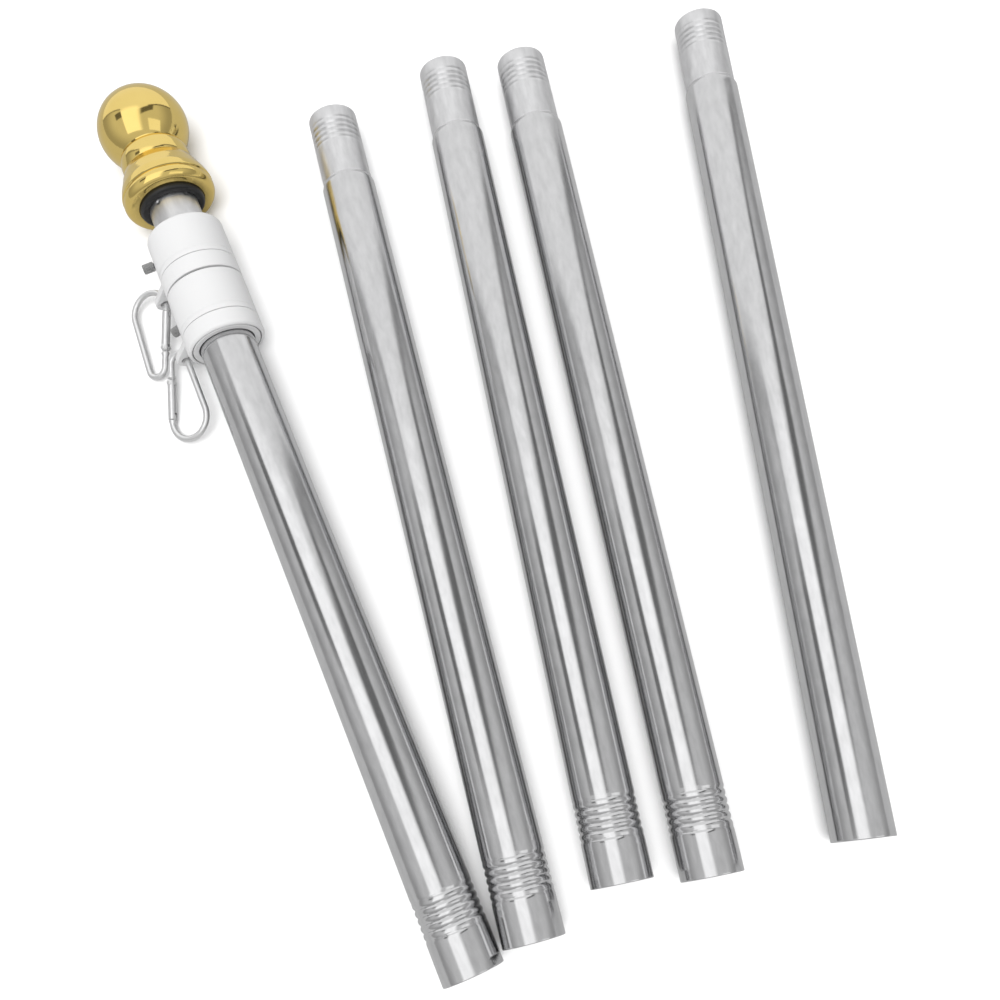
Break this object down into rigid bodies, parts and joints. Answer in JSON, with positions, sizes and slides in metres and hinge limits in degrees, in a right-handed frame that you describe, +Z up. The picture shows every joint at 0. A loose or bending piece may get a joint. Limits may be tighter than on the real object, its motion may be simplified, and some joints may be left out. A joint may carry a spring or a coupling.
{
  "type": "sectional house flagpole kit",
  "caption": "Stainless house flagpole taken apart into screw-together tube sections, with a gold ball finial and turning rings that carry snap clips for the flag.",
  "frame": {"origin": "centre of the laid-out kit, on the floor that it lies on", "axes": "+X right along the row of sections, +Y along the poles towards the finial, +Z up"},
  "size_m": [0.3149, 0.435, 0.0448],
  "materials": {
    "steel_tube": "polished stainless tube with fine lengthwise brushing",
    "gold": "gold anodised, mirror polished",
    "black_rubber": "matt",
    "white_plastic": "satin moulded",
    "screw_steel": "knurled head",
    "clip_steel": "bright wire"
  },
  "bodies": {
    "pole_sections": {"top_section_tube": "steel_tube", "second_section_tube": "steel_tube", "third_section_tube": "steel_tube", "fourth_section_tube": "steel_tube", "bottom_section_tube": "steel_tube", "finial_base": "gold", "finial_ball": "gold", "finial_bushing": "black_rubber", "upper_collar": "white_plastic"},
    "lower_collar": {"lower_collar": "white_plastic"},
    "upper_ring": {"upper_ring": "white_plastic"},
    "lower_ring": {"lower_ring": "white_plastic"},
    "upper_thumb_screw": {"upper_thumb_screw": "screw_steel"},
    "lower_thumb_screw": {"lower_thumb_screw": "screw_steel"},
    "upper_clip": {"upper_clip_frame": "clip_steel", "upper_clip_rivet": "clip_steel"},
    "upper_clip_gate": {"upper_clip_gate": "clip_steel"},
    "lower_clip": {"lower_clip_frame": "clip_steel", "lower_clip_rivet": "clip_steel"},
    "lower_clip_gate": {"lower_clip_gate": "clip_steel"}
  },
  "joints": [
    {"name": "lower_collar_slide", "type": "slide", "parent": "pole_sections", "child": "lower_collar", "axis": [-0.2092, 0.9776, 0.0246], "range_m": [-0.04, 0]},
    {"name": "upper_ring_spin", "type": "hinge", "parent": "pole_sections", "child": "upper_ring", "pos_m": [-0.11656, 0.10637, 0.02079], "axis": [-0.2092, 0.9776, 0.0246], "continuous": true},
    {"name": "lower_ring_spin", "type": "hinge", "parent": "lower_collar", "child": "lower_ring", "pos_m": [-0.10986, 0.07509, 0.02], "axis": [-0.2092, 0.9776, 0.0246], "continuous": true},
    {"name": "upper_screw_turn", "type": "hinge", "parent": "pole_sections", "child": "upper_thumb_screw", "pos_m": [-0.1378, 0.11873, 0.02184], "axis": [-0.9771, -0.21, 0.0349], "range_deg": [0, 720]},
    {"name": "lower_screw_turn", "type": "hinge", "parent": "lower_collar", "child": "lower_thumb_screw", "pos_m": [-0.13008, 0.08784, 0.01419], "axis": [-0.9206, -0.1884, -0.3419], "range_deg": [0, 720]},
    {"name": "upper_clip_swing", "type": "hinge", "parent": "upper_ring", "child": "upper_clip", "pos_m": [-0.13761, 0.1047, 0.01184], "axis": [-0.2092, 0.9776, 0.0246], "range_deg": [-65, 65]},
    {"name": "lower_clip_swing", "type": "hinge", "parent": "lower_ring", "child": "lower_clip", "pos_m": [-0.13092, 0.07342, 0.01105], "axis": [-0.2092, 0.9776, 0.0246], "range_deg": [-65, 65]},
    {"name": "upper_gate_open", "type": "hinge", "parent": "upper_clip", "child": "upper_clip_gate", "pos_m": [-0.1411, 0.08267, 0.00787], "axis": [-0.3821, -0.1049, 0.9182], "range_deg": [0, 25], "stiffness_Nm_per_rad": 0.04, "springref_deg": -14.32},
    {"name": "lower_gate_open", "type": "hinge", "parent": "lower_clip", "child": "lower_clip_gate", "pos_m": [-0.1406, 0.06457, 0.00601], "axis": [-0.3821, -0.1049, 0.9182], "range_deg": [0, 25], "stiffness_Nm_per_rad": 0.04, "springref_deg": -14.32}
  ]
}
